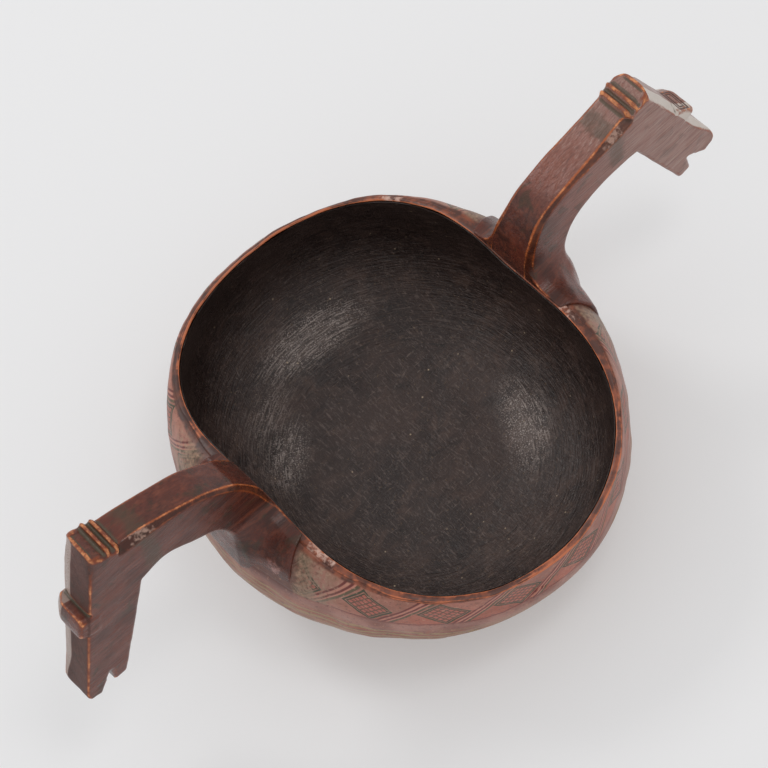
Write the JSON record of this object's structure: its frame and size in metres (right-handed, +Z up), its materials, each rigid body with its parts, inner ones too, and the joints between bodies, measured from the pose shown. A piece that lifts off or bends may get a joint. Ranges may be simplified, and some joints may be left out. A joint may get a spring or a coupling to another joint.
{
  "type": "two-handled wooden ale bowl",
  "caption": "Hand-carved oval wooden drinking bowl with a low painted belly, a black-coated hollow and two upswept handles ending in outward-looking horse heads.",
  "frame": {"origin": "centre of the flat foot, on the surface that the bowl stands on", "axes": "+X from the bowl's centre to the right handle, +Y across the handles, +Z up through the mouth"},
  "size_m": [0.3408, 0.2026, 0.1425],
  "materials": {
    "painted_birch": "thin red-brown oil paint with darker line ornament over birch, satin, worn to bare wood on the arrises",
    "waxed_birch": "dark red-brown stain over birch, handled to a soft shine, worn orange on the arrises",
    "black_coat": "near-black satin coat with fine scratches from use"
  },
  "bodies": {
    "root": {"bowl": "painted_birch", "interior_coat": "black_coat", "left_handle": "waxed_birch", "right_handle": "waxed_birch"}
  },
  "joints": []
}
